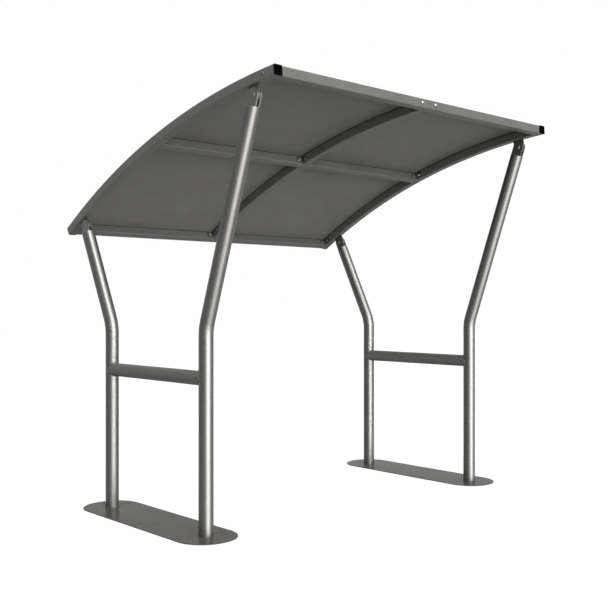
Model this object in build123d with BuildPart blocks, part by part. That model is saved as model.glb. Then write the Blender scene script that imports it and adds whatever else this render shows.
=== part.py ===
"""Bike shelter: two welded side frames on long base plates carry a curved roof of square tubes and sheet.

Millimetres, +Z up, +X to the right along the front beam, +Y to the rear (the low edge of the roof).
The origin is on the ground, under the middle of the whole shelter.
"""
import os
from math import asin, atan2, cos, degrees, hypot, radians, sin, sqrt, tan

from build123d import *

# ---- driving dimensions -------------------------------------------------------------------------
# side frames
frame_spacing = 2146.0          # left frame to right frame, post axis to post axis
post_spacing = 917.0            # front post axis to rear post axis
post_diameter = 76.1
post_wall = 3.2
bend_height = 1052.0            # height at which the upright and the leaning axis cross
bend_radius = 215.0
front_lean = 19.4               # degrees from upright, towards the front
rear_lean = 26.8                # degrees from upright, towards the rear
front_pivot_height = 2164.0     # axis of the bolt at the top of each front post
rear_pivot_height = 1648.0      # axis of the bolt at the top of each rear post
crossbar_diameter = 75.0
crossbar_wall = 3.0
crossbar_height = 798.5
vent_hole_diameter = 12.0
vent_hole_setback = 39.0        # from the post axis, along the crossbar

# base plates
plate_length = 1224.0
plate_width = 332.0
plate_corner_radius = 159.0
plate_thickness = 5.0
plate_edge_rounding = 1.5
anchor_hole_diameter = 14.0
anchor_inset = 62.0             # from a hole's centre to the nearest edge of the plate

# roof tubes
roof_radius = 4440.0            # to the top of the roof tubes
tube_size = 50.0
tube_wall = 3.0
tube_corner_radius = 5.0
front_overhang = 173.0          # along the top of a rib, from the front pivot to the rib's cut end
rear_overhang = 171.0           # the same behind the rear pivot

# pivots between the posts and the ribs
pivot_drop = 47.0               # from the underside of a rib to the bolt axis
pivot_plate_width = 70.0        # fork plates and rib tabs alike
fork_plate_thickness = 8.0
fork_gap = 12.0
fork_height = 50.0              # from the top of the post's cap to the bolt axis
post_cap_thickness = 6.0
tab_clearance = 1.0             # each side of the tab, in the fork
pivot_bolt_diameter = 12.0
pivot_hole_clearance = 0.5      # on the radius
bolt_head_diameter = 30.0
bolt_head_height = 7.0
bolt_head_rim = 1.0             # upright edge round the dome
nut_across_flats = 19.0
nut_height = 10.0
washer_diameter = 24.0
washer_thickness = 2.5
bolt_thread_end = 5.0
bolt_end_chamfer = 1.0

# end caps of the outer ribs
cap_thickness = 6.0
cap_edge_rounding = 1.2
cap_plug_depth = 20.0
cap_plug_wall = 2.5
cap_plug_clearance = 0.5

# corner cleats between the roof tubes
cleat_leg = 50.0
cleat_thickness = 4.0
cleat_height = 34.0

# roof covering
gasket_thickness = 5.0
gasket_setback = 2.0            # from the inner faces of the tubes and from the edge of the sheet
sheet_thickness = 2.0
sheet_inset = 25.0              # from the outer faces of the roof frame to the edge of the sheet

# ---- sizes that follow --------------------------------------------------------------------------
post_radius = post_diameter / 2
rib_underside_radius = roof_radius - tube_size
pivot_circle_radius = rib_underside_radius - pivot_drop
frame_half = frame_spacing / 2
post_half = post_spacing / 2
tube_half = tube_size / 2


def lean_reach(height, lean):
    """How far a leaning post has gone sideways from its upright part at a height."""
    return (height - bend_height) * tan(radians(lean))


# the pivots, counted from the middle of the side frame
front_pivot_y = -post_half - lean_reach(front_pivot_height, front_lean)
rear_pivot_y = post_half + lean_reach(rear_pivot_height, rear_lean)

# centre of the roof's arc: as far below both pivots as the circle through them asks
chord = hypot(rear_pivot_y - front_pivot_y, rear_pivot_height - front_pivot_height)
chord_slope = atan2(front_pivot_height - rear_pivot_height, rear_pivot_y - front_pivot_y)
centre_depth = sqrt(pivot_circle_radius**2 - (chord / 2) ** 2)
arc_y = (front_pivot_y + rear_pivot_y) / 2 - centre_depth * sin(chord_slope)
arc_z = (front_pivot_height + rear_pivot_height) / 2 - centre_depth * cos(chord_slope)


def roof_angle(y, z):
    """Angle of a point about the roof's arc, in degrees from upright towards the rear."""
    return degrees(atan2(y - arc_y, z - arc_z))


front_pivot_angle = roof_angle(front_pivot_y, front_pivot_height)
rear_pivot_angle = roof_angle(rear_pivot_y, rear_pivot_height)
front_angle = front_pivot_angle - degrees(front_overhang / roof_radius)
rear_angle = rear_pivot_angle + degrees(rear_overhang / roof_radius)


def rib_end_y(radius, angle, outward):
    """How far out an end cap reaches at a radius of the roof's arc."""
    return arc_y + radius * sin(radians(angle)) + outward * cap_thickness * cos(radians(angle))


# the side frames stand where the whole shelter is centred on the origin
roof_front_y = rib_end_y(rib_underside_radius, front_angle, -1)
roof_rear_y = rib_end_y(roof_radius, rear_angle, 1)
frame_y = -(roof_front_y + roof_rear_y) / 2
arc_y += frame_y
front_pivot_y += frame_y
rear_pivot_y += frame_y

# roof tubes that run across: their middle angles, and how far their flat tops lie below the arc
half_tube_angle = degrees(asin(tube_half / roof_radius))
front_beam_angle = front_angle + half_tube_angle
rear_beam_angle = rear_angle - half_tube_angle
purlin_angle = (front_angle + rear_angle) / 2
flat_top_drop = roof_radius - sqrt(roof_radius**2 - tube_half**2)
beam_centre_radius = roof_radius - tube_half - flat_top_drop
inner_span = frame_spacing - tube_size

roof_axis = Axis((0, arc_y, arc_z), (-1, 0, 0))
os.makedirs("parts", exist_ok=True)


def save(piece, name):
    """Label a finished piece and write it."""
    piece.part.label = name
    export_step(piece.part, f"parts/{name}.step")


def roof_point(x, radius, angle):
    """A point at a radius and an angle of the roof's arc."""
    return (x, arc_y + radius * sin(radians(angle)), arc_z + radius * cos(radians(angle)))


def across_plane(x, radius, angle):
    """Plane square to a rib: its x runs along +X and its y points outwards from the arc's centre."""
    slope = radians(angle)
    return Plane(origin=roof_point(x, radius, angle), x_dir=(1, 0, 0), z_dir=(0, -cos(slope), sin(slope)))


def along_plane(x, radius, angle):
    """Plane square to +X: its x runs down the roof to the rear and its y points outwards."""
    slope = radians(angle)
    return Plane(origin=roof_point(x, radius, angle), x_dir=(0, cos(slope), -sin(slope)), z_dir=(1, 0, 0))


# ---- base plates --------------------------------------------------------------------------------
def make_base_plate(side, frame_x):
    side_hole_x = plate_width / 2 - anchor_inset
    end_hole_y = plate_length / 2 - anchor_inset
    with BuildPart() as base_plate:
        with BuildSketch(Plane((frame_x, frame_y, 0))):
            RectangleRounded(plate_width, plate_length, plate_corner_radius)
            with GridLocations(2 * side_hole_x, post_half, 2, 3):
                Circle(anchor_hole_diameter / 2, mode=Mode.SUBTRACT)
            with GridLocations(0, 2 * end_hole_y, 1, 2):
                Circle(anchor_hole_diameter / 2, mode=Mode.SUBTRACT)
        extrude(amount=plate_thickness)
        top_outline = base_plate.faces().sort_by(Axis.Z)[-1].outer_wire().edges()
        fillet(top_outline, plate_edge_rounding)
    save(base_plate, f"{side}_base_plate")


# ---- posts --------------------------------------------------------------------------------------
def lean_direction(outward, lean):
    """Direction of a post above its bend; outward is -1 for a front post and 1 for a rear one."""
    return Vector(0, outward * sin(radians(lean)), cos(radians(lean)))


def make_post(name, frame_x, outward, lean, pivot_y, pivot_height):
    """An upright tube, bent once so that its top leans away from the other post."""
    direction = lean_direction(outward, lean)
    foot = Vector(frame_x, frame_y + outward * post_half, plate_thickness)
    bend = Vector(frame_x, foot.Y, bend_height)
    top = Vector(frame_x, pivot_y, pivot_height) - direction * (fork_height + post_cap_thickness)
    with BuildPart() as post:
        with BuildLine() as path:
            FilletPolyline(foot, bend, top, radius=bend_radius)
        with BuildSketch(Plane(foot)):
            Circle(post_radius)
            Circle(post_radius - post_wall, mode=Mode.SUBTRACT)
        sweep(path=path.wires()[0])
    save(post, name)


def make_crossbar(side, frame_x):
    """A level tube, coped round both posts, with a vent hole near each end on its left side."""
    with BuildPart() as crossbar:
        with BuildSketch(Plane((frame_x, frame_y - post_half, crossbar_height), z_dir=(0, 1, 0))):
            Circle(crossbar_diameter / 2)
            Circle(crossbar_diameter / 2 - crossbar_wall, mode=Mode.SUBTRACT)
        extrude(amount=post_spacing)
        with BuildSketch(Plane((frame_x, frame_y, crossbar_height - crossbar_diameter))):
            with GridLocations(0, post_spacing, 1, 2):
                Circle(post_radius)
        extrude(amount=2 * crossbar_diameter, mode=Mode.SUBTRACT)
        vent_y = post_half - vent_hole_setback
        with BuildSketch(Plane((frame_x, frame_y, crossbar_height), x_dir=(0, 1, 0), z_dir=(-1, 0, 0))):
            with Locations((-vent_y, 0), (vent_y, 0)):
                Circle(vent_hole_diameter / 2)
        extrude(amount=crossbar_diameter, mode=Mode.SUBTRACT)
    save(crossbar, f"{side}_crossbar")


# ---- pivots -------------------------------------------------------------------------------------
def pivot_plane(frame_x, pivot_y, pivot_height, direction):
    """Plane square to +X through a bolt axis, with its y along a direction."""
    return Plane(
        origin=(frame_x, pivot_y, pivot_height), x_dir=(0, direction.Z, -direction.Y), z_dir=(1, 0, 0)
    )


def make_fork(name, frame_x, outward, lean, pivot_y, pivot_height):
    """Round cap on a post with two upright plates for the pivot bolt."""
    direction = lean_direction(outward, lean)
    plane = pivot_plane(frame_x, pivot_y, pivot_height, direction)
    cap_top = Vector(frame_x, pivot_y, pivot_height) - direction * fork_height
    with BuildPart() as fork:
        with BuildSketch(Plane(origin=cap_top, x_dir=(1, 0, 0), z_dir=direction)):
            Circle(post_radius)
        extrude(amount=-post_cap_thickness)
        for side in (-1, 1):
            with BuildSketch(plane.offset(side * fork_gap / 2)):
                Circle(pivot_plate_width / 2)
                with Locations((0, -fork_height / 2)):
                    Rectangle(pivot_plate_width, fork_height)
                Circle(pivot_bolt_diameter / 2 + pivot_hole_clearance, mode=Mode.SUBTRACT)
            extrude(amount=side * fork_plate_thickness)
    save(fork, name)


def make_rib_tab(name, frame_x, angle, pivot_y, pivot_height):
    """Plate welded under a rib, square to it, with a round lower end about the pivot bolt."""
    outwards = Vector(0, sin(radians(angle)), cos(radians(angle)))
    plane = pivot_plane(frame_x, pivot_y, pivot_height, outwards)
    plate_half = pivot_plate_width / 2
    underside_rise = rib_underside_radius - sqrt(rib_underside_radius**2 - plate_half**2)
    tab_height = pivot_drop - underside_rise
    tab_thickness = fork_gap - 2 * tab_clearance
    with BuildPart() as tab:
        with BuildSketch(plane.offset(-tab_thickness / 2)):
            Circle(plate_half)
            with Locations((0, tab_height / 2)):
                Rectangle(pivot_plate_width, tab_height)
            Circle(pivot_bolt_diameter / 2 + pivot_hole_clearance, mode=Mode.SUBTRACT)
        extrude(amount=tab_thickness)
    save(tab, name)


def make_pivot_bolt(name, frame_x, pivot_y, pivot_height, direction):
    """Bolt along +X, with its domed head against the fork on the left, and a washer and nut on the right."""
    plane = pivot_plane(frame_x, pivot_y, pivot_height, direction)
    grip_half = fork_gap / 2 + fork_plate_thickness
    nut_face = grip_half + washer_thickness
    head_radius = bolt_head_diameter / 2
    head_plane = Plane(
        origin=(frame_x - grip_half, pivot_y, pivot_height), x_dir=(0, 1, 0), z_dir=(0, 0, 1)
    )
    with BuildPart() as bolt:
        with BuildSketch(plane.offset(-grip_half)):
            Circle(pivot_bolt_diameter / 2)
        extrude(amount=grip_half + nut_face + nut_height + bolt_thread_end)
        chamfer(bolt.edges().group_by(Axis.X)[-1], bolt_end_chamfer)
        with BuildSketch(head_plane):
            with BuildLine():
                dome = TangentArc((0, bolt_head_height), (head_radius, bolt_head_rim), tangent=(1, 0))
                Polyline(dome @ 1, (head_radius, 0), (0, 0), (0, bolt_head_height))
            make_face()
        revolve(axis=Axis((frame_x, pivot_y, pivot_height), (1, 0, 0)))
        with BuildSketch(plane.offset(grip_half)):
            Circle(washer_diameter / 2)
        extrude(amount=washer_thickness)
        with BuildSketch(plane.offset(nut_face)):
            RegularPolygon(nut_across_flats / sqrt(3), 6)
        extrude(amount=nut_height)
    save(bolt, name)


# ---- roof frame ---------------------------------------------------------------------------------
def tube_profile():
    """Square tube with round corners, drawn about its centre."""
    RectangleRounded(tube_size, tube_size, tube_corner_radius)
    bore = tube_size - 2 * tube_wall
    RectangleRounded(bore, bore, tube_corner_radius - tube_wall, mode=Mode.SUBTRACT)


def make_outer_rib(name, rib_x):
    with BuildPart() as rib:
        with BuildSketch(across_plane(rib_x, roof_radius - tube_half, front_angle)):
            tube_profile()
        revolve(axis=roof_axis, revolution_arc=rear_angle - front_angle)
    save(rib, name)


def make_middle_rib(name, front_tube_angle, rear_tube_angle):
    """Half of the middle rib, cut to the flat faces of the two tubes that it stands between."""
    front_tube_face = across_plane(0, beam_centre_radius, front_tube_angle).offset(-tube_half)
    rear_tube_face = across_plane(0, beam_centre_radius, rear_tube_angle).offset(tube_half)
    with BuildPart() as rib:
        with BuildSketch(across_plane(0, roof_radius - tube_half, front_tube_angle)):
            tube_profile()
        revolve(axis=roof_axis, revolution_arc=rear_tube_angle - front_tube_angle)
        split(bisect_by=front_tube_face, keep=Keep.BOTTOM)
        split(bisect_by=rear_tube_face, keep=Keep.TOP)
    save(rib, name)


def make_beam(name, angle):
    """Straight square tube between the two outer ribs."""
    with BuildPart() as beam:
        with BuildSketch(along_plane(-inner_span / 2, beam_centre_radius, angle)):
            tube_profile()
        extrude(amount=inner_span)
    save(beam, name)


def make_end_cap(name, rib_x, angle, outward):
    """Plastic cap on the cut end of an outer rib, with a hollow plug inside the tube."""
    end_plane = across_plane(rib_x, roof_radius - tube_half, angle)
    out_of_tube = Axis(end_plane.origin, end_plane.z_dir * -outward)
    plug = tube_size - 2 * tube_wall - 2 * cap_plug_clearance
    plug_corner = tube_corner_radius - tube_wall - cap_plug_clearance
    plug_bore = plug - 2 * cap_plug_wall
    with BuildPart() as cap:
        with BuildSketch(end_plane):
            RectangleRounded(tube_size, tube_size, tube_corner_radius)
        extrude(amount=-outward * cap_thickness)
        outer_face = cap.faces().sort_by(out_of_tube)[-1]
        fillet(outer_face.edges(), cap_edge_rounding)
        with BuildSketch(end_plane):
            RectangleRounded(plug, plug, plug_corner)
            Rectangle(plug_bore, plug_bore, mode=Mode.SUBTRACT)
        extrude(amount=outward * cap_plug_depth)
    save(cap, name)


def make_cleat(name, corner_x, away_x, angle, away_y):
    """Angle cleat in the corner of a rib and a cross tube.

    away_x and away_y say on which side of the corner it lies: +1 is to the right and to the rear.
    """
    face = across_plane(corner_x, beam_centre_radius, angle).offset(-away_y * tube_half)
    corner = face.origin
    outwards = Vector(0, sin(radians(angle)), cos(radians(angle)))
    plane = Plane(origin=corner - outwards * (cleat_height / 2), x_dir=(1, 0, 0), z_dir=outwards)
    outline = [
        (0, 0),
        (cleat_leg, 0),
        (cleat_leg, cleat_thickness),
        (cleat_thickness, cleat_thickness),
        (cleat_thickness, cleat_leg),
        (0, cleat_leg),
    ]
    points = [(away_x * along, away_y * out) for along, out in outline]
    with BuildPart() as cleat:
        with BuildSketch(plane):
            with BuildLine():
                Polyline(*points, close=True)
            make_face()
        extrude(amount=cleat_height)
    save(cleat, name)


# ---- roof covering ------------------------------------------------------------------------------
def arc_degrees(length):
    """Angle that a length takes along the top of the ribs."""
    return degrees(length / roof_radius)


def make_roof_sheet():
    width = frame_spacing + tube_size - 2 * sheet_inset
    inset = arc_degrees(sheet_inset)
    middle_radius = roof_radius + gasket_thickness + sheet_thickness / 2
    with BuildPart() as sheet:
        with BuildSketch(across_plane(0, middle_radius, front_angle + inset)):
            Rectangle(width, sheet_thickness)
        revolve(axis=roof_axis, revolution_arc=rear_angle - front_angle - 2 * inset)
    save(sheet, "roof_sheet")


def make_roof_gasket():
    """Rubber strips on top of every roof tube, joined where the tubes meet."""
    width = frame_spacing + tube_size - 2 * (sheet_inset + gasket_setback)
    inset = arc_degrees(sheet_inset + gasket_setback)
    strip_edge = tube_half - gasket_setback
    window_width = frame_half - 2 * strip_edge
    strip_edge_angle = arc_degrees(strip_edge)
    windows = ((front_beam_angle, purlin_angle), (purlin_angle, rear_beam_angle))
    middle_radius = roof_radius + gasket_thickness / 2
    with BuildPart() as gasket:
        with BuildSketch(across_plane(0, middle_radius, front_angle + inset)):
            Rectangle(width, gasket_thickness)
        revolve(axis=roof_axis, revolution_arc=rear_angle - front_angle - 2 * inset)
        for from_angle, to_angle in windows:
            with BuildSketch(across_plane(0, middle_radius, from_angle + strip_edge_angle)):
                with GridLocations(frame_half, 0, 2, 1):
                    Rectangle(window_width, 2 * gasket_thickness)
            turn = to_angle - from_angle - 2 * strip_edge_angle
            revolve(axis=roof_axis, revolution_arc=turn, mode=Mode.SUBTRACT)
    save(gasket, "roof_gasket")


# ---- the whole shelter --------------------------------------------------------------------------
posts = {
    "front": (-1, front_lean, front_pivot_angle, front_pivot_y, front_pivot_height),
    "rear": (1, rear_lean, rear_pivot_angle, rear_pivot_y, rear_pivot_height),
}
for side, frame_x in (("left", -frame_half), ("right", frame_half)):
    make_base_plate(side, frame_x)
    make_crossbar(side, frame_x)
    for end, (outward, lean, pivot_angle, pivot_y, pivot_height) in posts.items():
        direction = lean_direction(outward, lean)
        make_post(f"{side}_{end}_post", frame_x, outward, lean, pivot_y, pivot_height)
        make_fork(f"{side}_{end}_fork", frame_x, outward, lean, pivot_y, pivot_height)
        make_rib_tab(f"{side}_{end}_rib_tab", frame_x, pivot_angle, pivot_y, pivot_height)
        make_pivot_bolt(f"{side}_{end}_pivot_bolt", frame_x, pivot_y, pivot_height, direction)
    make_outer_rib(f"{side}_rib", frame_x)
    make_end_cap(f"{side}_front_cap", frame_x, front_angle, -1)
    make_end_cap(f"{side}_rear_cap", frame_x, rear_angle, 1)

make_beam("front_beam", front_beam_angle)
make_beam("middle_purlin", purlin_angle)
make_beam("rear_beam", rear_beam_angle)
make_middle_rib("middle_rib_front", front_beam_angle, purlin_angle)
make_middle_rib("middle_rib_rear", purlin_angle, rear_beam_angle)

# a cleat in each corner that holds a rib: which tube it is bolted to, and which face of that tube
cleat_rows = {"front": (front_beam_angle, 1), "purlin": (purlin_angle, -1), "rear": (rear_beam_angle, -1)}
rib_corners = {
    "left": (-inner_span / 2, 1),
    "middle_left": (-tube_half, -1),
    "middle_right": (tube_half, 1),
    "right": (inner_span / 2, -1),
}
for row, (angle, away_y) in cleat_rows.items():
    for corner, (corner_x, away_x) in rib_corners.items():
        make_cleat(f"{row}_cleat_{corner}", corner_x, away_x, angle, away_y)

make_roof_gasket()
make_roof_sheet()
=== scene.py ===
"""Looks of the bike shelter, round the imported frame: finishes, bolts, screws, welds, studio and camera.

Metres, +Z up, +X to the right along the front beam, +Y to the rear, as in the CAD.
"""

from math import atan2, cos, pi, radians, sin, sqrt, tau

import bpy
import numpy as np
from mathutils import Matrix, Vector


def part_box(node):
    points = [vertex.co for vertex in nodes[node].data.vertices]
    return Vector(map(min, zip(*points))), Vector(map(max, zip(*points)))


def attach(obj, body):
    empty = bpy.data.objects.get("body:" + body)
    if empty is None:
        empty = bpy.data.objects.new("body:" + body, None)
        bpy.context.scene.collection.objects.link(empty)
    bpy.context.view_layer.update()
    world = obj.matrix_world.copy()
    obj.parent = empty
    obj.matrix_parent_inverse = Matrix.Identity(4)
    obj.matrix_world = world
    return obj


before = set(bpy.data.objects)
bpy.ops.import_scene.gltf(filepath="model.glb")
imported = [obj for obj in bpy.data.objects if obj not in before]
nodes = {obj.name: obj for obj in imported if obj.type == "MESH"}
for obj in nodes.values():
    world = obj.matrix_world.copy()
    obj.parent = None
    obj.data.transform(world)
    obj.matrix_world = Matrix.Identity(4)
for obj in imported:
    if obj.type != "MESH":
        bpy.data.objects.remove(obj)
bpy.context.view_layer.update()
scene = bpy.context.scene

# ---- sizes of what is added ---------------------------------------------------------------------
carriage_bolt_head = 0.0205
carriage_bolt_head_height = 0.0052
small_nut_flats = 0.013
small_nut_height = 0.0065
small_washer = 0.017
small_washer_thickness = 0.0016
small_thread = 0.008
small_thread_end = 0.004
cleat_hole = 0.029              # from the corner of a cleat to its bolts
cleat_thickness = 0.004
flange_screw_flats = 0.008
flange_screw_height = 0.0055
flange_screw_collar = 0.0145
roof_washer = 0.014
roof_washer_thickness = 0.0014
roof_screw_head = 0.0088
roof_screw_head_height = 0.0016
roof_screw_pitch = 0.30
roof_screw_setback = 0.0125     # from the edge of the sheet, over the tubes
weld_leg = 0.0025
weld_ripple_pitch = 0.0028
weld_radius = 0.6               # of the bead, in legs
weld_offset = 0.3               # from the corner to the middle of the bead, in legs
weld_step = 0.3                 # from ring to ring along the bead, in ripples
weld_swell = 0.07               # how far a ripple swells the bead
weld_sides = 8
ring_steps = 96                 # points of the line round a post or a crossbar
hexagon_sides = 6
round_sides = 24                # of bolt heads and washers
roof_washer_sides = 20
small_round_sides = 16          # of threads and roof screws
merge_distance = 1e-6
spin_seed = 7                   # of the random turns of the fixings about their axes
smooth_below = radians(35)      # edges sharper than this stay sharp

# ---- places read from the frame -----------------------------------------------------------------
SIDES = ("left", "right")
ENDS = ("front", "rear")


def middle(node):
    """Centre of a CAD node's box."""
    low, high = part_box(node)
    return (low + high) / 2


def fit_circle(points):
    """Centre and radius of the circle nearest to points (u, v)."""
    u, v = np.array(points, float).T
    system = np.column_stack((2 * u, 2 * v, np.ones(len(u))))
    centre_u, centre_v, rest = np.linalg.lstsq(system, u * u + v * v, rcond=None)[0]
    return centre_u, centre_v, sqrt(rest + centre_u**2 + centre_v**2)


sheet_mesh = nodes["roof_sheet"].data
sheet_top = {v for p in sheet_mesh.polygons if p.normal.z > 0.5 for v in p.vertices}
arc_y, arc_z, sheet_radius = fit_circle([sheet_mesh.vertices[v].co.yz for v in sheet_top])
tube_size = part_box("left_rib")[1].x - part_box("left_rib")[0].x
tube_half = tube_size / 2


def outward(angle):
    """Direction away from the centre of the roof's arc."""
    return Vector((0, sin(angle), cos(angle)))


def rearward(angle):
    """Direction down the roof, square to the outward one."""
    return Vector((0, cos(angle), -sin(angle)))


def roof_angle(point):
    """Angle of a point round the roof's arc, from upright towards the rear."""
    return atan2(point.y - arc_y, point.z - arc_z)


def on_roof(x, radius, angle):
    """A point at a radius and an angle of the roof's arc."""
    return Vector((x, arc_y, arc_z)) + radius * outward(angle)


# ---- small tools --------------------------------------------------------------------------------
def add_node(tree, kind, **settings):
    """A node of a tree, with its own settings and the values of its inputs by name."""
    made = tree.nodes.new(kind)
    inputs = settings.pop("inputs", {})
    for name, value in settings.items():
        setattr(made, name, value)
    for name, value in inputs.items():
        if isinstance(value, bpy.types.NodeSocket):
            tree.links.new(value, made.inputs[name])
        else:
            made.inputs[name].default_value = value
    return made


def times(tree, value, factor):
    """A value or socket times another."""
    return add_node(tree, "ShaderNodeMath", operation="MULTIPLY", inputs={0: value, 1: factor}).outputs[0]


def plus(tree, value, other):
    """A value or socket plus another."""
    return add_node(tree, "ShaderNodeMath", operation="ADD", inputs={0: value, 1: other}).outputs[0]


def piece_from(mesh, name):
    """Show a mesh as a piece that rides on the shelter."""
    piece = bpy.data.objects.new(name, mesh)
    scene.collection.objects.link(piece)
    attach(piece, "root")
    return piece


def finish_node(name, material):
    """Give a CAD node its finish."""
    slots = nodes[name].data.materials
    slots.clear()
    slots.append(material)


# ---- finishes -----------------------------------------------------------------------------------
dust_colour = (0.19, 0.18, 0.16)
dust_amount = 0.2
dust_roughness = 0.5            # added where dust lies
cloud_share = 0.7               # of a paint's unevenness; the fine speckle has the rest
shade_spread = 0.09             # of a paint's colour, to either side
edge_wear_and_highlight = 0.5                 # how much of the lighter edge colour an edge shows: worn paint, and a painted highlight on the roof tubes' rounded corners
edge_wear_and_highlight_tint = 2.2                # the lighter edge colour, as a multiple of the paint's
scuff_wear = 0.22
scuff_shade = 2.0
scuff_roughness = 0.09          # added where the paint is scuffed
wide_peel = 0.0001              # depth of the orange peel's wide ripple
fine_peel = 0.00003
# one anthracite paint, given a grey per part to suit how light falls on it: the darker post, tab and bolt
# greys are painted shade, the lighter bar, plate, roof and sheet greys are painted light
frame_grey = (0.044, 0.0428, 0.0405)
bar_grey_lit = (0.055, 0.054, 0.052)
tab_grey_shaded = (0.033, 0.0322, 0.0306)
plate_grey_lit = (0.074, 0.0726, 0.07)
post_grey_shaded = (0.026, 0.0254, 0.0242)
roof_grey_lit = (0.101, 0.0995, 0.0955)
bolt_grey_shaded = (0.05, 0.0485, 0.046)
sheet_grey_lit = (0.144, 0.142, 0.136)
rubber_dark = (0.005, 0.005, 0.005)
rubber_light = (0.012, 0.012, 0.012)
rubber_bloom = (0.02, 0.02, 0.019)
plastic_dark = (0.0012, 0.0012, 0.0012)
plastic_light = (0.0035, 0.0035, 0.0035)
plastic_worn = (0.012, 0.012, 0.012)
plastic_edge = 0.001            # width of a cap's worn edges
plastic_edge_wear = 0.6
zinc_dark = (0.115, 0.116, 0.117)
zinc_light = (0.2, 0.2, 0.198)
pivot_dark = (0.075, 0.075, 0.076)
pivot_light = (0.12, 0.12, 0.119)
zinc_edge = 0.0006              # width of a fixing's bright edges
zinc_edge_wear = 0.5
zinc_edge_shade = 1.5
crystal_scale = 900.0
crystal_share = 0.35            # of the zinc's unevenness; the clouds have the rest


def new_finish(name):
    """An empty material with its shader and the object's own coordinates."""
    material = bpy.data.materials.new(name)
    material.use_nodes = True
    tree = material.node_tree
    tree.nodes.clear()
    shader = add_node(tree, "ShaderNodeBsdfPrincipled")
    add_node(tree, "ShaderNodeOutputMaterial", inputs={"Surface": shader.outputs["BSDF"]})
    place = add_node(tree, "ShaderNodeTexCoord").outputs["Object"]
    return material, tree, shader, place


def noise(tree, place, scale, detail=2.0, roughness=0.5):
    """Noise with patches about 1 / scale metres wide."""
    return add_node(
        tree,
        "ShaderNodeTexNoise",
        inputs={"Vector": place, "Scale": scale, "Detail": detail, "Roughness": roughness},
    ).outputs["Fac"]


def between(tree, value, low, high, from_low=0.3, from_high=0.7):
    """A value's range, from_low to from_high, spread over low to high and held there outside it."""
    return add_node(
        tree,
        "ShaderNodeMapRange",
        inputs={
            "Value": value,
            "From Min": from_low,
            "From Max": from_high,
            "To Min": low,
            "To Max": high,
        },
    ).outputs["Result"]


def tinted(colour, factor):
    """A colour made lighter or darker."""
    return [part * factor for part in colour]


def bump(tree, height, strength, distance, normal=None):
    """Bump whose full height is a distance in metres, on top of another bump if one is given."""
    inputs = {"Height": height, "Strength": strength, "Distance": distance}
    if normal is not None:
        inputs["Normal"] = normal
    return add_node(tree, "ShaderNodeBump", inputs=inputs).outputs["Normal"]


def mixed(tree, factor, first, second):
    """One colour turned into another by a factor; each is a socket or (r, g, b)."""
    inputs = {0: factor}
    for socket, colour in ((6, first), (7, second)):
        inputs[socket] = colour if isinstance(colour, bpy.types.NodeSocket) else (*colour, 1)
    return add_node(tree, "ShaderNodeMix", data_type="RGBA", inputs=inputs).outputs[2]


def own_normal(tree):
    """The surface's own normal."""
    return add_node(tree, "ShaderNodeNewGeometry").outputs["Normal"]


def edge_mask(tree, radius):
    """1 along sharp and tightly rounded edges, 0 elsewhere."""
    rounded = add_node(tree, "ShaderNodeBevel", samples=4, inputs={"Radius": radius}).outputs["Normal"]
    inputs = {0: rounded, 1: own_normal(tree)}
    match = add_node(tree, "ShaderNodeVectorMath", operation="DOT_PRODUCT", inputs=inputs)
    return between(tree, match.outputs["Value"], 0.0, 1.0, from_low=0.985, from_high=0.86)


def dust_mask(tree, place):
    """Dust that settles in patches on faces that look up."""
    up = add_node(tree, "ShaderNodeSeparateXYZ", inputs={"Vector": own_normal(tree)}).outputs["Z"]
    spread = noise(tree, place, scale=14.0, detail=5.0, roughness=0.6)
    patches = between(tree, spread, 0.25, 1.0, from_low=0.4, from_high=0.62)
    return times(tree, between(tree, up, 0.0, 1.0, from_low=0.55, from_high=0.98), patches)


def scuffs(tree, place, along):
    """Sparse thin rubbed marks; along is the marks' scale in X, Y and Z, least where they run."""
    stretch = add_node(tree, "ShaderNodeMapping", inputs={"Vector": place, "Scale": along}).outputs["Vector"]
    marks = noise(tree, stretch, scale=1.0, detail=3.0, roughness=0.6)
    return between(tree, marks, 0.0, 1.0, from_low=0.66, from_high=0.74)


def powder_coat(
    name,
    colour,
    roughness,
    specular=0.5,
    along=(60, 60, 9),
    peel=0.1,
    edge=0.002,
    patchy=0.035,
    wear=1.0,
):
    """Dark powder coat: orange peel, faint clouds, thin and lighter along edges (also a painted highlight on
    rounded corners where the edge band is wide), dusty on top and a little scuffed.
    """
    material, tree, shader, place = new_finish(name)
    clouds = noise(tree, place, scale=7.0, detail=4.0, roughness=0.55)
    speckle = noise(tree, place, scale=420.0)
    rubbed = times(tree, scuffs(tree, place, along), wear)
    edges = edge_mask(tree, edge)
    settled = times(tree, dust_mask(tree, place), dust_amount)
    uneven = plus(tree, times(tree, clouds, cloud_share), times(tree, speckle, 1 - cloud_share))
    shade = between(tree, uneven, 0.0, 1.0)
    base = mixed(tree, shade, tinted(colour, 1 - shade_spread), tinted(colour, 1 + shade_spread))
    # lighter edges: worn paint, and where the edge band is wide a painted highlight on the rounded corners
    worn_and_highlit = mixed(tree, times(tree, edges, edge_wear_and_highlight), base, tinted(colour, edge_wear_and_highlight_tint))
    scuffed = mixed(tree, times(tree, rubbed, scuff_wear), worn_and_highlit, tinted(colour, scuff_shade))
    tree.links.new(mixed(tree, settled, scuffed, dust_colour), shader.inputs["Base Color"])
    cloudy = between(tree, clouds, roughness - patchy, roughness + patchy)
    gloss = plus(tree, cloudy, times(tree, rubbed, scuff_roughness))
    tree.links.new(plus(tree, gloss, times(tree, settled, dust_roughness)), shader.inputs["Roughness"])
    ripple = bump(tree, noise(tree, place, scale=55.0, detail=1.0), peel, wide_peel)
    fine = bump(tree, noise(tree, place, scale=330.0, detail=1.0), peel, fine_peel, ripple)
    tree.links.new(fine, shader.inputs["Normal"])
    shader.inputs["Specular IOR Level"].default_value = specular
    return material


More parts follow.
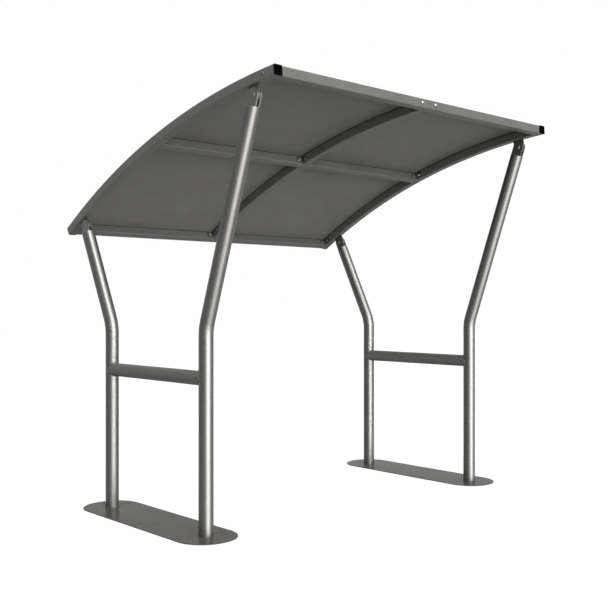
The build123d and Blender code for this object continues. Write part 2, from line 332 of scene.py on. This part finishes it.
def black_rubber():
    """Matt black rubber with a fine grain and a chalky bloom."""
    material, tree, shader, place = new_finish("gasket_rubber")
    grain = noise(tree, place, scale=700.0, detail=3.0)
    bloom = between(tree, noise(tree, place, scale=12.0, detail=4.0), 0.0, 0.5)
    base = mixed(tree, grain, rubber_dark, rubber_light)
    tree.links.new(mixed(tree, bloom, base, rubber_bloom), shader.inputs["Base Color"])
    tree.links.new(between(tree, grain, 0.72, 0.85), shader.inputs["Roughness"])
    tree.links.new(bump(tree, grain, strength=0.4, distance=0.0002), shader.inputs["Normal"])
    shader.inputs["Specular IOR Level"].default_value = 0.2
    return material


def black_plastic():
    """Matt black moulded plastic with a spark-eroded grain, a little grey along its edges."""
    material, tree, shader, place = new_finish("cap_plastic")
    grain = noise(tree, place, scale=1100.0)
    base = mixed(tree, grain, plastic_dark, plastic_light)
    edges = times(tree, edge_mask(tree, plastic_edge), plastic_edge_wear)
    tree.links.new(mixed(tree, edges, base, plastic_worn), shader.inputs["Base Color"])
    tree.links.new(between(tree, grain, 0.6, 0.75), shader.inputs["Roughness"])
    tree.links.new(bump(tree, grain, strength=0.3, distance=0.0001), shader.inputs["Normal"])
    shader.inputs["Specular IOR Level"].default_value = 0.0
    return material


def dull_zinc(name, dark, light, roughness):
    """Zinc-plated steel gone dull: fine crystals, cloudy patches and brighter edges."""
    material, tree, shader, place = new_finish(name)
    crystals = add_node(
        tree,
        "ShaderNodeTexVoronoi",
        inputs={"Vector": place, "Scale": crystal_scale},
    ).outputs["Color"]
    crystal = add_node(tree, "ShaderNodeSeparateColor", inputs={"Color": crystals}).outputs["Red"]
    clouds = noise(tree, place, scale=140.0, detail=4.0, roughness=0.6)
    cloudy = times(tree, between(tree, clouds, 0.0, 1.0), 1 - crystal_share)
    base = mixed(tree, plus(tree, times(tree, crystal, crystal_share), cloudy), dark, light)
    edges = times(tree, edge_mask(tree, zinc_edge), zinc_edge_wear)
    edged = mixed(tree, edges, base, tinted(light, zinc_edge_shade))
    tree.links.new(edged, shader.inputs["Base Color"])
    tree.links.new(between(tree, clouds, roughness - 0.06, roughness + 0.08), shader.inputs["Roughness"])
    tree.links.new(bump(tree, clouds, strength=0.15, distance=0.0001), shader.inputs["Normal"])
    shader.inputs["Metallic"].default_value = 1.0
    return material


frame_paint = powder_coat("frame_paint", frame_grey, roughness=0.38, along=(60, 9, 60))
bar_paint = powder_coat(
    "bar_paint", bar_grey_lit, roughness=0.42, specular=0.15, along=(60, 9, 60), edge=0.006
)
# the tab's darker grey is painted shade under the rib
tab_paint = powder_coat("tab_paint", tab_grey_shaded, roughness=0.45, specular=0.25)
plate_paint = powder_coat(
    "plate_paint", plate_grey_lit, roughness=0.15, specular=0.015, along=(50, 8, 50), wear=0.3
)
post_paint = powder_coat("post_paint", post_grey_shaded, roughness=0.40, peel=0.015, patchy=0.01)
# the roof tubes' wide edge band paints a highlight along their rounded corners
roof_paint = powder_coat(
    "roof_paint", roof_grey_lit, roughness=0.5, specular=0.08, along=(12, 40, 60), edge=0.006
)
bolt_paint = powder_coat("bolt_paint", bolt_grey_shaded, roughness=0.45, along=(60, 60, 60))
sheet_paint = powder_coat(
    "sheet_paint", sheet_grey_lit, roughness=0.46, specular=0.03, along=(40, 6, 40), peel=0.05
)
gasket_rubber = black_rubber()
cap_plastic = black_plastic()
zinc = dull_zinc("dull_zinc", zinc_dark, zinc_light, roughness=0.38)
pivot_steel = dull_zinc("pivot_steel", pivot_dark, pivot_light, roughness=0.42)

for side in SIDES:
    finish_node(f"{side}_base_plate", plate_paint)
    finish_node(f"{side}_crossbar", bar_paint)
    for end in ENDS:
        finish_node(f"{side}_{end}_post", post_paint)
        finish_node(f"{side}_{end}_fork", frame_paint)
        finish_node(f"{side}_{end}_rib_tab", tab_paint)
        finish_node(f"{side}_{end}_pivot_bolt", pivot_steel)
        finish_node(f"{side}_{end}_cap", cap_plastic)
    finish_node(f"{side}_rib", roof_paint)
for tube in ("front_beam", "middle_purlin", "rear_beam", "middle_rib_front", "middle_rib_rear"):
    finish_node(tube, roof_paint)
CORNERS = ("left", "middle_left", "middle_right", "right")
for row in ("front", "purlin", "rear"):
    for corner in CORNERS:
        finish_node(f"{row}_cleat_{corner}", frame_paint)
finish_node("roof_gasket", gasket_rubber)
finish_node("roof_sheet", sheet_paint)


# ---- bolts, nuts, screws and welds by Geometry Nodes --------------------------------------------
def new_tree(name, sizes):
    """A Geometry Nodes tree with its sockets; gives the tree and its inputs by name."""
    tree = bpy.data.node_groups.new(name, "GeometryNodeTree")
    tree.interface.new_socket("Geometry", in_out="INPUT", socket_type="NodeSocketGeometry")
    for size in sizes:
        tree.interface.new_socket(size, in_out="INPUT", socket_type="NodeSocketFloat")
    tree.interface.new_socket("Finish", in_out="INPUT", socket_type="NodeSocketMaterial")
    tree.interface.new_socket("Geometry", in_out="OUTPUT", socket_type="NodeSocketGeometry")
    return tree, add_node(tree, "NodeGroupInput").outputs


def close_tree(tree, geometry, finish):
    """End a tree in real mesh with its finish."""
    real = add_node(tree, "GeometryNodeRealizeInstances", inputs={"Geometry": geometry})
    finished = add_node(
        tree,
        "GeometryNodeSetMaterial",
        inputs={"Geometry": real.outputs["Geometry"], "Material": finish},
    )
    add_node(tree, "NodeGroupOutput", inputs={"Geometry": finished.outputs["Geometry"]})


def stacked_part(tree, given, seat, sides, across, steps):
    """One part of a fixing, from its seat up; gives its mesh and the height of its top.

    Each step (size, share, ratio) rises by a share of a named size, and then scales the new top by the
    ratio. A hexagon is as wide across its flats as the size that across names.
    """
    to_corners = 0.5 / cos(pi / sides) if sides == hexagon_sides else 0.5
    base = add_node(
        tree,
        "GeometryNodeMeshCircle",
        fill_type="NGON",
        inputs={"Vertices": sides, "Radius": times(tree, given[across], to_corners)},
    )
    lift = add_node(tree, "ShaderNodeCombineXYZ", inputs={"Z": seat})
    placed = add_node(
        tree,
        "GeometryNodeTransform",
        inputs={"Geometry": base.outputs["Mesh"], "Translation": lift.outputs["Vector"]},
    ).outputs["Geometry"]
    mesh, top = placed, True
    for size, share, ratio in steps:
        rise = times(tree, given[size], share)
        risen = add_node(
            tree,
            "GeometryNodeExtrudeMesh",
            inputs={
                "Mesh": mesh,
                "Selection": top,
                "Offset": (0, 0, 1),
                "Offset Scale": rise,
                "Individual": False,
            },
        )
        top = risen.outputs["Top"]
        mesh = add_node(
            tree,
            "GeometryNodeScaleElements",
            inputs={"Geometry": risen.outputs["Mesh"], "Selection": top, "Scale": ratio},
        ).outputs["Geometry"]
        seat = plus(tree, seat, rise)
    underside = add_node(tree, "GeometryNodeFlipFaces", inputs={"Mesh": placed}).outputs["Mesh"]
    both = add_node(tree, "GeometryNodeJoinGeometry")
    tree.links.new(mesh, both.inputs[0])
    tree.links.new(underside, both.inputs[0])
    closed = add_node(
        tree,
        "GeometryNodeMergeByDistance",
        inputs={"Geometry": both.outputs["Geometry"], "Distance": merge_distance},
    )
    return closed.outputs["Geometry"], seat


def fixing_tree(name, sizes, parts):
    """Tree that stacks a fixing's parts and sets one, turned at random, along the axis of each point."""
    tree, given = new_tree(name, sizes)
    whole = add_node(tree, "GeometryNodeJoinGeometry")
    seat = 0.0
    for sides, across, steps in parts:
        mesh, seat = stacked_part(tree, given, seat, sides, across, steps)
        tree.links.new(mesh, whole.inputs[0])
    axis = add_node(
        tree,
        "GeometryNodeInputNamedAttribute",
        data_type="FLOAT_VECTOR",
        inputs={"Name": "axis"},
    )
    along = add_node(
        tree,
        "FunctionNodeAlignRotationToVector",
        axis="Z",
        inputs={"Vector": axis.outputs["Attribute"]},
    )
    turn = add_node(tree, "FunctionNodeRandomValue", data_type="FLOAT", inputs={3: tau, "Seed": spin_seed})
    spin = add_node(
        tree,
        "FunctionNodeAxisAngleToRotation",
        inputs={"Axis": (0, 0, 1), "Angle": turn.outputs[1]},
    )
    turned = add_node(
        tree,
        "FunctionNodeRotateRotation",
        rotation_space="LOCAL",
        inputs={"Rotation": along.outputs["Rotation"], "Rotate By": spin.outputs["Rotation"]},
    )
    placed = add_node(
        tree,
        "GeometryNodeInstanceOnPoints",
        inputs={
            "Points": given["Geometry"],
            "Instance": whole.outputs["Geometry"],
            "Rotation": turned.outputs["Rotation"],
        },
    )
    close_tree(tree, placed.outputs["Instances"], given["Finish"])
    return tree


def weld_tree():
    """Tree that lays a rippled bead along each line of edges."""
    tree, given = new_tree("weld_bead", ["Leg", "Ripple"])
    line = add_node(tree, "GeometryNodeMeshToCurve", inputs={"Mesh": given["Geometry"]})
    even = add_node(
        tree,
        "GeometryNodeResampleCurve",
        mode="LENGTH",
        inputs={"Curve": line.outputs["Curve"], "Length": times(tree, given["Ripple"], weld_step)},
    )
    length = add_node(tree, "GeometryNodeSplineParameter").outputs["Length"]
    ripples = add_node(tree, "ShaderNodeMath", operation="DIVIDE", inputs={0: length, 1: given["Ripple"]})
    wave = add_node(
        tree,
        "ShaderNodeMath",
        operation="SINE",
        inputs={0: times(tree, ripples.outputs[0], tau)},
    )
    swell = plus(tree, times(tree, wave.outputs[0], weld_swell), 1.0)
    section = add_node(
        tree,
        "GeometryNodeCurvePrimitiveCircle",
        inputs={"Resolution": weld_sides, "Radius": times(tree, given["Leg"], weld_radius)},
    )
    bead = add_node(
        tree,
        "GeometryNodeCurveToMesh",
        inputs={
            "Curve": even.outputs["Curve"],
            "Profile Curve": section.outputs["Curve"],
            "Scale": swell,
            "Fill Caps": True,
        },
    )
    close_tree(tree, bead.outputs["Mesh"], given["Finish"])
    return tree


def grown_piece(name, slot, finish, tree, points, edges=(), axes=None, **sizes):
    """Run a tree once on points and edges, and keep its result as a plain piece."""
    mesh = bpy.data.meshes.new(name + "_seed")
    mesh.from_pydata([tuple(p) for p in points], edges, [])
    if axes is not None:
        axis = mesh.attributes.new("axis", "FLOAT_VECTOR", "POINT")
        axis.data.foreach_set("vector", [part for a in axes for part in a])
    seed = bpy.data.objects.new(name + "_seed", mesh)
    modifier = seed.modifiers.new("fixings", "NODES")
    modifier.node_group = tree
    values = {"Finish": finish, **{size.replace("_", " "): value for size, value in sizes.items()}}
    for socket in tree.interface.items_tree:
        if socket.in_out == "INPUT" and socket.name in values:
            modifier[socket.identifier] = values[socket.name]
    scene.collection.objects.link(seed)
    made = bpy.data.meshes.new_from_object(seed.evaluated_get(bpy.context.evaluated_depsgraph_get()))
    seed.modifiers.remove(modifier)
    bpy.data.objects.remove(seed)
    made.name = name
    made.shade_smooth()
    made.set_sharp_from_angle(angle=smooth_below)
    return piece_from(made, name)


def dome(size):
    """Steps of a low dome that ends in a small flat."""
    levels = [radians(a) for a in (0, 18, 36, 54, 72, 86)]
    return [(size, sin(b) - sin(a), cos(b) / cos(a)) for a, b in zip(levels, levels[1:])]


def disc(size):
    """Steps of a washer with a broken upper edge."""
    return [(size, 0.75, 1.0), (size, 0.25, 0.96)]


def hexagon(size):
    """Steps of a nut or head with both ends chamfered."""
    return [(size, 0.08, 1.06), (size, 0.82, 1.0), (size, 0.1, 0.92)]


def stub(size):
    """Steps of the end of a thread, chamfered."""
    return [(size, 0.8, 1.0), (size, 0.2, 0.8)]


dome_bolt = fixing_tree("dome_bolt", ["Head", "Height"], [(round_sides, "Head", dome("Height"))])
washer_and_nut = fixing_tree(
    "washer_and_nut",
    ["Washer", "Washer thickness", "Flats", "Height", "Thread", "Thread end"],
    [
        (round_sides, "Washer", disc("Washer thickness")),
        (hexagon_sides, "Flats", hexagon("Height")),
        (small_round_sides, "Thread", stub("Thread end")),
    ],
)
flange_screw = fixing_tree(
    "flange_screw",
    ["Collar", "Collar thickness", "Flats", "Height"],
    [
        (round_sides, "Collar", disc("Collar thickness")),
        (hexagon_sides, "Flats", hexagon("Height")),
    ],
)
roof_screw = fixing_tree(
    "roof_screw",
    ["Washer", "Washer thickness", "Head", "Height"],
    [
        (roof_washer_sides, "Washer", disc("Washer thickness")),
        (small_round_sides, "Head", dome("Height")),
    ],
)
weld_bead = weld_tree()


# ---- bolts of the roof frame --------------------------------------------------------------------
beams = {"front": "front_beam", "purlin": "middle_purlin", "rear": "rear_beam"}
cleat_side = {"front": 1, "purlin": -1, "rear": -1}     # +1 where the cleats lie behind their tube
rib_of = {"left": "left_rib", "middle_left": None, "middle_right": None, "right": "right_rib"}
away = {"left": 1, "middle_left": -1, "middle_right": 1, "right": -1}


def corner_x(corner):
    """X of the face of the rib that a cleat is bolted to."""
    rib_x = middle(rib_of[corner]).x if rib_of[corner] else 0.0
    return rib_x + away[corner] * tube_half


domes, nuts, screws = [], [], []
for row, beam in beams.items():
    centre = middle(beam)
    angle = roof_angle(centre)
    behind = cleat_side[row] * rearward(angle)
    for corner in CORNERS:
        side_x = Vector((away[corner], 0, 0))
        on_beam = Vector((corner_x(corner), centre.y, centre.z)) + side_x * cleat_hole
        beam_seat = (on_beam + behind * (tube_half + cleat_thickness), behind)
        if rib_of[corner]:
            screws.append(beam_seat)
        else:
            nuts.append(beam_seat)
            domes.append((on_beam - behind * tube_half, -behind))
        on_rib = Vector((corner_x(corner), centre.y, centre.z)) + behind * (tube_half + cleat_hole)
        rib_seat = (on_rib + side_x * cleat_thickness, side_x)
        if corner == "middle_left":
            domes.append(rib_seat)
        else:
            nuts.append(rib_seat)
        if rib_of[corner]:
            domes.append((on_rib - side_x * tube_size, -side_x))


def set_fixings(name, slot, finish, tree, places, **sizes):
    """A piece with one fixing on each (point, axis)."""
    points = [point for point, _ in places]
    axes = [axis for _, axis in places]
    return grown_piece(name, slot, finish, tree, points, axes=axes, **sizes)


bolt_heads = set_fixings(
    "carriage_bolt_heads",
    "roof_paint",
    bolt_paint,
    dome_bolt,
    domes,
    Head=carriage_bolt_head,
    Height=carriage_bolt_head_height,
)
set_fixings(
    "cleat_nuts",
    "fixings",
    zinc,
    washer_and_nut,
    nuts,
    Washer=small_washer,
    Washer_thickness=small_washer_thickness,
    Flats=small_nut_flats,
    Height=small_nut_height,
    Thread=small_thread,
    Thread_end=small_thread_end,
)
set_fixings(
    "cleat_screws",
    "fixings",
    zinc,
    flange_screw,
    screws,
    Collar=flange_screw_collar,
    Collar_thickness=small_washer_thickness,
    Flats=flange_screw_flats,
    Height=flange_screw_height,
)


# ---- screws of the roof sheet -------------------------------------------------------------------
def spaced(start, end, pitch):
    """Even steps from start to end, both kept, near a pitch."""
    count = max(1, round((end - start) / pitch))
    return [start + (end - start) * step / count for step in range(count + 1)]


edge_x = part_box("roof_sheet")[1].x - roof_screw_setback
front_row = roof_angle(middle("front_beam")) + roof_screw_setback / sheet_radius
rear_row = roof_angle(middle("rear_beam")) - roof_screw_setback / sheet_radius
purlin_row = roof_angle(middle("middle_purlin"))
pitch_angle = roof_screw_pitch / sheet_radius
screw_angles = spaced(front_row, purlin_row, pitch_angle) + spaced(purlin_row, rear_row, pitch_angle)[1:]
screw_xs = spaced(-edge_x, 0, roof_screw_pitch) + spaced(0, edge_x, roof_screw_pitch)[1:]
roof_places = {(x, angle) for x in (-edge_x, 0.0, edge_x) for angle in screw_angles}
roof_places |= {(x, angle) for angle in (front_row, purlin_row, rear_row) for x in screw_xs}
set_fixings(
    "roof_screws",
    "fixings",
    zinc,
    roof_screw,
    [(on_roof(x, sheet_radius, angle), outward(angle)) for x, angle in sorted(roof_places)],
    Washer=roof_washer,
    Washer_thickness=roof_washer_thickness,
    Head=roof_screw_head,
    Height=roof_screw_head_height,
)


# ---- weld beads ---------------------------------------------------------------------------------
post_radius = (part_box("left_front_post")[1].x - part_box("left_front_post")[0].x) / 2
bead_offset = weld_offset * weld_leg


def lay_welds(name, slot, finish, rings):
    """A piece of weld beads along closed rings of points."""
    points, edges = [], []
    for ring in rings:
        first, count = len(points), len(ring)
        points += ring
        edges += [(first + step, first + (step + 1) % count) for step in range(count)]
    return grown_piece(name, slot, finish, weld_bead, points, edges, Leg=weld_leg, Ripple=weld_ripple_pitch)


def foot_of(side, end):
    """Where a post's axis meets its base plate."""
    low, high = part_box(f"{side}_{end}_post")
    y = high.y - post_radius if end == "front" else low.y + post_radius
    return Vector(((low.x + high.x) / 2, y, low.z))


def turns(count):
    """Even angles of a full turn."""
    return [tau * step / count for step in range(count)]


def foot_ring(foot):
    """Line round the foot of a post, on the plate."""
    radius = post_radius + bead_offset
    return [foot + Vector((radius * cos(a), radius * sin(a), bead_offset)) for a in turns(ring_steps)]


def saddle_ring(foot, bar, bar_radius, towards):
    """Line where the crossbar meets a post, a little out of the corner."""
    ring = []
    out = 1 + bead_offset / bar_radius
    for a in turns(ring_steps):
        x = bar_radius * cos(a)
        reach = sqrt(max(post_radius**2 - x * x, 0)) + bead_offset
        ring.append(Vector((foot.x + x * out, foot.y + towards * reach, bar.z + bar_radius * sin(a) * out)))
    return ring


for side in SIDES:
    bar = middle(f"{side}_crossbar")
    bar_low, bar_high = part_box(f"{side}_crossbar")
    bar_radius = (bar_high.z - bar_low.z) / 2
    feet = {end: foot_of(side, end) for end in ENDS}
    # the foot welds take the tab's darker, painted-shade copy of the paint
    lay_welds(f"{side}_foot_welds", "frame_paint", tab_paint, [foot_ring(feet[end]) for end in ENDS])
    saddles = [
        saddle_ring(feet["front"], bar, bar_radius, towards=1),
        saddle_ring(feet["rear"], bar, bar_radius, towards=-1),
    ]
    lay_welds(f"{side}_crossbar_welds", "frame_paint", bar_paint, saddles)

# ---- camera -------------------------------------------------------------------------------------
sensor_width = 36.0             # this and the lens in millimetres
lens = 53.917
camera_place = (-3.7949, -4.1623, 1.1758)
camera_turn = -42.226           # degrees about Z; the camera looks level, along +Y before it is turned
camera_data = bpy.data.cameras.new("camera")
camera_data.sensor_width = sensor_width
camera_data.lens = lens
camera = bpy.data.objects.new("camera", camera_data)
camera.location = camera_place
camera.rotation_euler = (radians(90), 0, radians(camera_turn))
scene.collection.objects.link(camera)
bpy.context.scene.camera = camera

# ---- studio -------------------------------------------------------------------------------------
scene.view_settings.view_transform = "Standard"
floor_size = 60.0
floor_dark = (0.44, 0.44, 0.44)
floor_light = (0.48, 0.48, 0.48)
floor_lift = 0.64               # glow that takes the lit floor up to white where it is seen
world_fill = 0.88               # strength of the world on the paint; the backdrop itself is white
aim = Vector((0, 0, 1.1))       # what the lamps face
near = 20.0                     # the lamps' distances from what they face
far = 22.0
softbox = (14.5, 9.2)           # width and height
white = (1, 1, 1)
warm_white = (1.0, 0.985, 0.96)


def background_rays(tree):
    """1 on the rays that see the background: straight, in gloss or through glass."""
    path = add_node(tree, "ShaderNodeLightPath").outputs
    gloss = plus(tree, path["Is Glossy Ray"], path["Is Transmission Ray"])
    straight = path["Is Camera Ray"]
    seen = add_node(tree, "ShaderNodeMath", operation="ADD", use_clamp=True, inputs={0: gloss, 1: straight})
    return seen.outputs[0]


def make_floor():
    """Pale floor, lifted to white where it is seen; it takes the shelter's shadow and casts none."""
    mesh = bpy.data.meshes.new("studio_floor")
    half = floor_size / 2
    corners = [(-half, -half, 0), (half, -half, 0), (half, half, 0), (-half, half, 0)]
    mesh.from_pydata(corners, [], [(0, 1, 2, 3)])
    floor = bpy.data.objects.new("studio_floor", mesh)
    scene.collection.objects.link(floor)
    material = bpy.data.materials.new("studio_floor")
    material.use_nodes = True
    tree = material.node_tree
    tree.nodes.clear()
    place = add_node(tree, "ShaderNodeTexCoord").outputs["Object"]
    speckle = noise(tree, place, scale=40.0, detail=3.0)
    colour = mixed(tree, speckle, floor_dark, floor_light)
    lit = add_node(tree, "ShaderNodeBsdfDiffuse", inputs={"Color": colour})
    lift = times(tree, background_rays(tree), floor_lift)
    glow = add_node(tree, "ShaderNodeEmission", inputs={"Color": (*white, 1), "Strength": lift})
    both = add_node(tree, "ShaderNodeAddShader", inputs={0: lit.outputs[0], 1: glow.outputs[0]})
    add_node(tree, "ShaderNodeOutputMaterial", inputs={"Surface": both.outputs[0]})
    mesh.materials.append(material)
    floor.visible_glossy = False
    floor.visible_shadow = False


def make_world():
    """White backdrop all round, with a softer fill on the paint."""
    world = bpy.data.worlds.new("studio")
    scene.world = world
    world.use_nodes = True
    tree = world.node_tree
    tree.nodes.clear()
    strength = add_node(
        tree,
        "ShaderNodeMapRange",
        inputs={"Value": background_rays(tree), "To Min": world_fill, "To Max": 1.0},
    )
    backdrop = add_node(
        tree,
        "ShaderNodeBackground",
        inputs={"Color": (*white, 1), "Strength": strength.outputs["Result"]},
    )
    add_node(tree, "ShaderNodeOutputWorld", inputs={"Surface": backdrop.outputs[0]})


def soft_lamp(name, bearing, height, distance, across, up, radiance, gloss_only=False):
    """A soft panel that faces the shelter and gives diffuse light and gloss, or gloss only.

    The bearing is in degrees from the front towards the right, and height in degrees above level.
    """
    lamp = bpy.data.lights.new(name, "AREA")
    lamp.shape = "RECTANGLE"
    lamp.size = across
    lamp.size_y = up
    lamp.energy = radiance * pi * across * up
    lamp.color = warm_white if gloss_only else white
    panel = bpy.data.objects.new(name, lamp)
    turn, rise = radians(bearing), radians(height)
    towards = Vector((sin(turn) * cos(rise), -cos(turn) * cos(rise), sin(rise)))
    panel.location = aim + towards * distance
    panel.rotation_euler = towards.to_track_quat("Z", "Y").to_euler()
    panel.visible_camera = False
    panel.visible_diffuse = not gloss_only
    scene.collection.objects.link(panel)
    return panel


def light_links(name, pieces, state="INCLUDE"):
    """Pieces that a lamp is linked to: these alone (INCLUDE), or all but these (EXCLUDE)."""
    links = bpy.data.collections.new(name)
    for place, piece in enumerate(pieces):
        links.objects.link(piece)
        links.collection_objects[place].light_linking.link_state = state
    return links


make_floor()
make_world()
rear_posts = [nodes["left_rear_post"], nodes["right_rear_post"]]
front_posts = [nodes["left_front_post"], nodes["right_front_post"]]
matt_nodes = ("roof_sheet", "left_crossbar", "right_crossbar", "left_base_plate", "right_base_plate")
matt_pieces = [nodes[name] for name in matt_nodes] + [bolt_heads]
strips_miss = light_links("strips_miss", matt_pieces + rear_posts, "EXCLUDE")
rear_strips_reach = light_links("rear_strips_reach", rear_posts)
rear_strips_stop_at = light_links("rear_strips_stop_at", front_posts)

# every lamp is given as name, bearing, height, distance, across, up, radiance
# these long strips draw the bright streaks on the round posts
strips = [
    ("bright_strip", -4.0, 30.0, near, 12.0, 47.0, 24.0),
    ("wide_strip", -6.0, 10.0, near, 26.0, 55.0, 11.0),
]
for name, *panel in strips:
    soft_lamp(name, *panel, gloss_only=True).light_linking.receiver_collection = strips_miss

# the same for the rear posts, side by side, so that no ray meets two of them; the roof doesn't block them
rear_strips = [
    ("rear_low_strip", -4.0, 5.5, near, 12.0, 19.1, 35.0),
    ("rear_high_strip", -4.0, 55.0, near, 12.0, 17.8, 38.0),
    ("rear_left_strip", -29.85, 10.0, far, 7.1, 60.0, 11.0),
    ("rear_right_strip", 19.85, 10.0, far, 5.5, 60.0, 11.0),
]
for name, *panel in rear_strips:
    rear_strip = soft_lamp(name, *panel, gloss_only=True)
    rear_strip.light_linking.receiver_collection = rear_strips_reach
    rear_strip.light_linking.blocker_collection = rear_strips_stop_at

bolt_lamp = soft_lamp("bolt_lamp", 18.0, 45.0, near, 24.0, 14.0, 62.0, gloss_only=True)
bolt_lamp.light_linking.receiver_collection = light_links("bolt_lamp_reaches", [bolt_heads])
soft_lamp("front_softbox", -3.0, 3.0, near, *softbox, 8.0)
side_softbox = soft_lamp("side_softbox", -80.0, 22.0, near, *softbox, 2.0)
side_softbox.visible_glossy = False

# the left crossbar is lit from above past the roof's edge, the right one from low down under the roof
bar_lamps = [("left", -75.0, 60.0, 9.5), ("right", -60.0, 12.0, 9.8)]
for side, bearing, height, radiance in bar_lamps:
    bar_lamp = soft_lamp(f"{side}_bar_lamp", bearing, height, near, *softbox, radiance)
    bar_lamp.visible_glossy = False
    reached = light_links(f"{side}_bar_lamp_reaches", [nodes[f"{side}_crossbar"]])
    bar_lamp.light_linking.receiver_collection = reached
